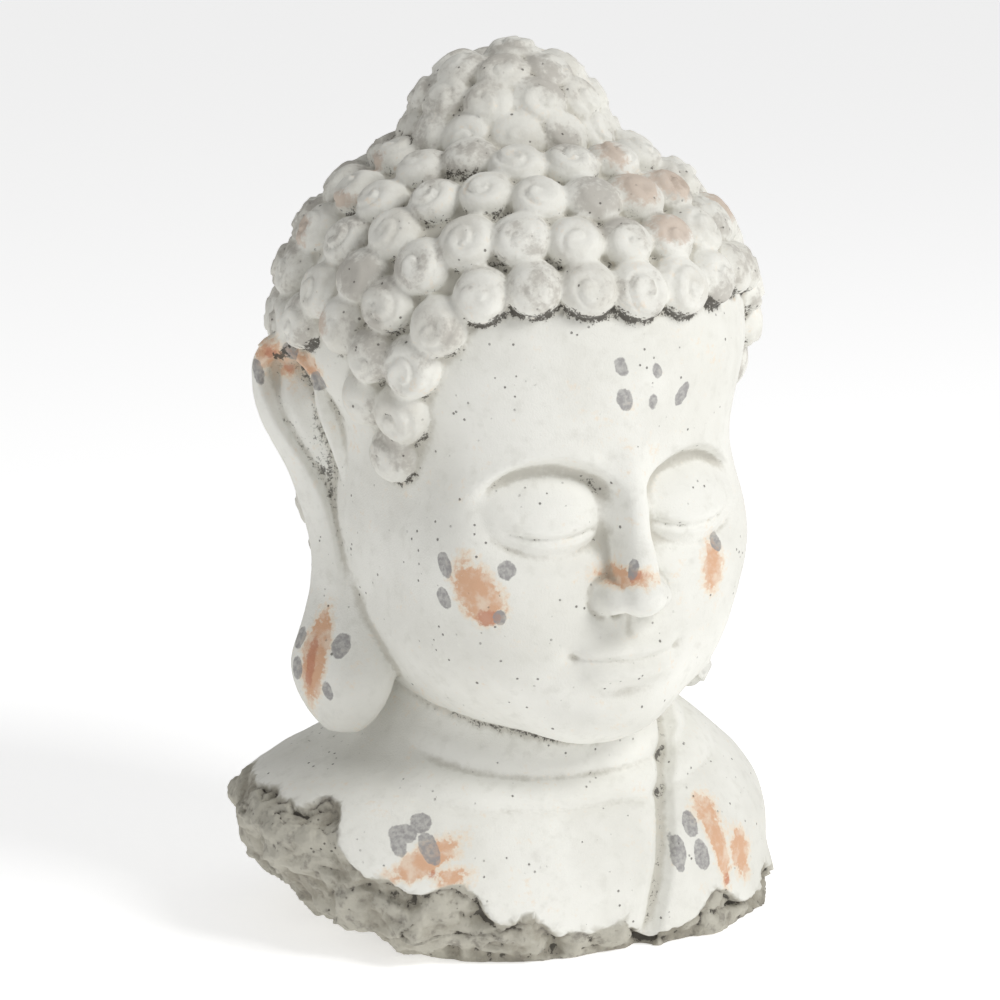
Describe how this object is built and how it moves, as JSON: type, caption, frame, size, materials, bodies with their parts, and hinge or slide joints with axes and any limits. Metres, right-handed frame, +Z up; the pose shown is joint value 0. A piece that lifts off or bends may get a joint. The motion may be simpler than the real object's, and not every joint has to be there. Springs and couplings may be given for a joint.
{
  "type": "buddha head statue",
  "caption": "Cast garden bust of a calm head with snail-shell curls, topknot, long ears, robe edge and a broken lower rim.",
  "frame": {"origin": "centre of the bounding box at the flat underside", "axes": "+Z up, the face looks along -Y, the statue's own left is +X"},
  "size_m": [0.266, 0.268, 0.4202],
  "materials": {
    "limewashed_cement": "matt weathered white limewash with grey and orange paint marks over grey cement"
  },
  "bodies": {
    "root": {"buddha_head_bust": "limewashed_cement"}
  },
  "joints": []
}
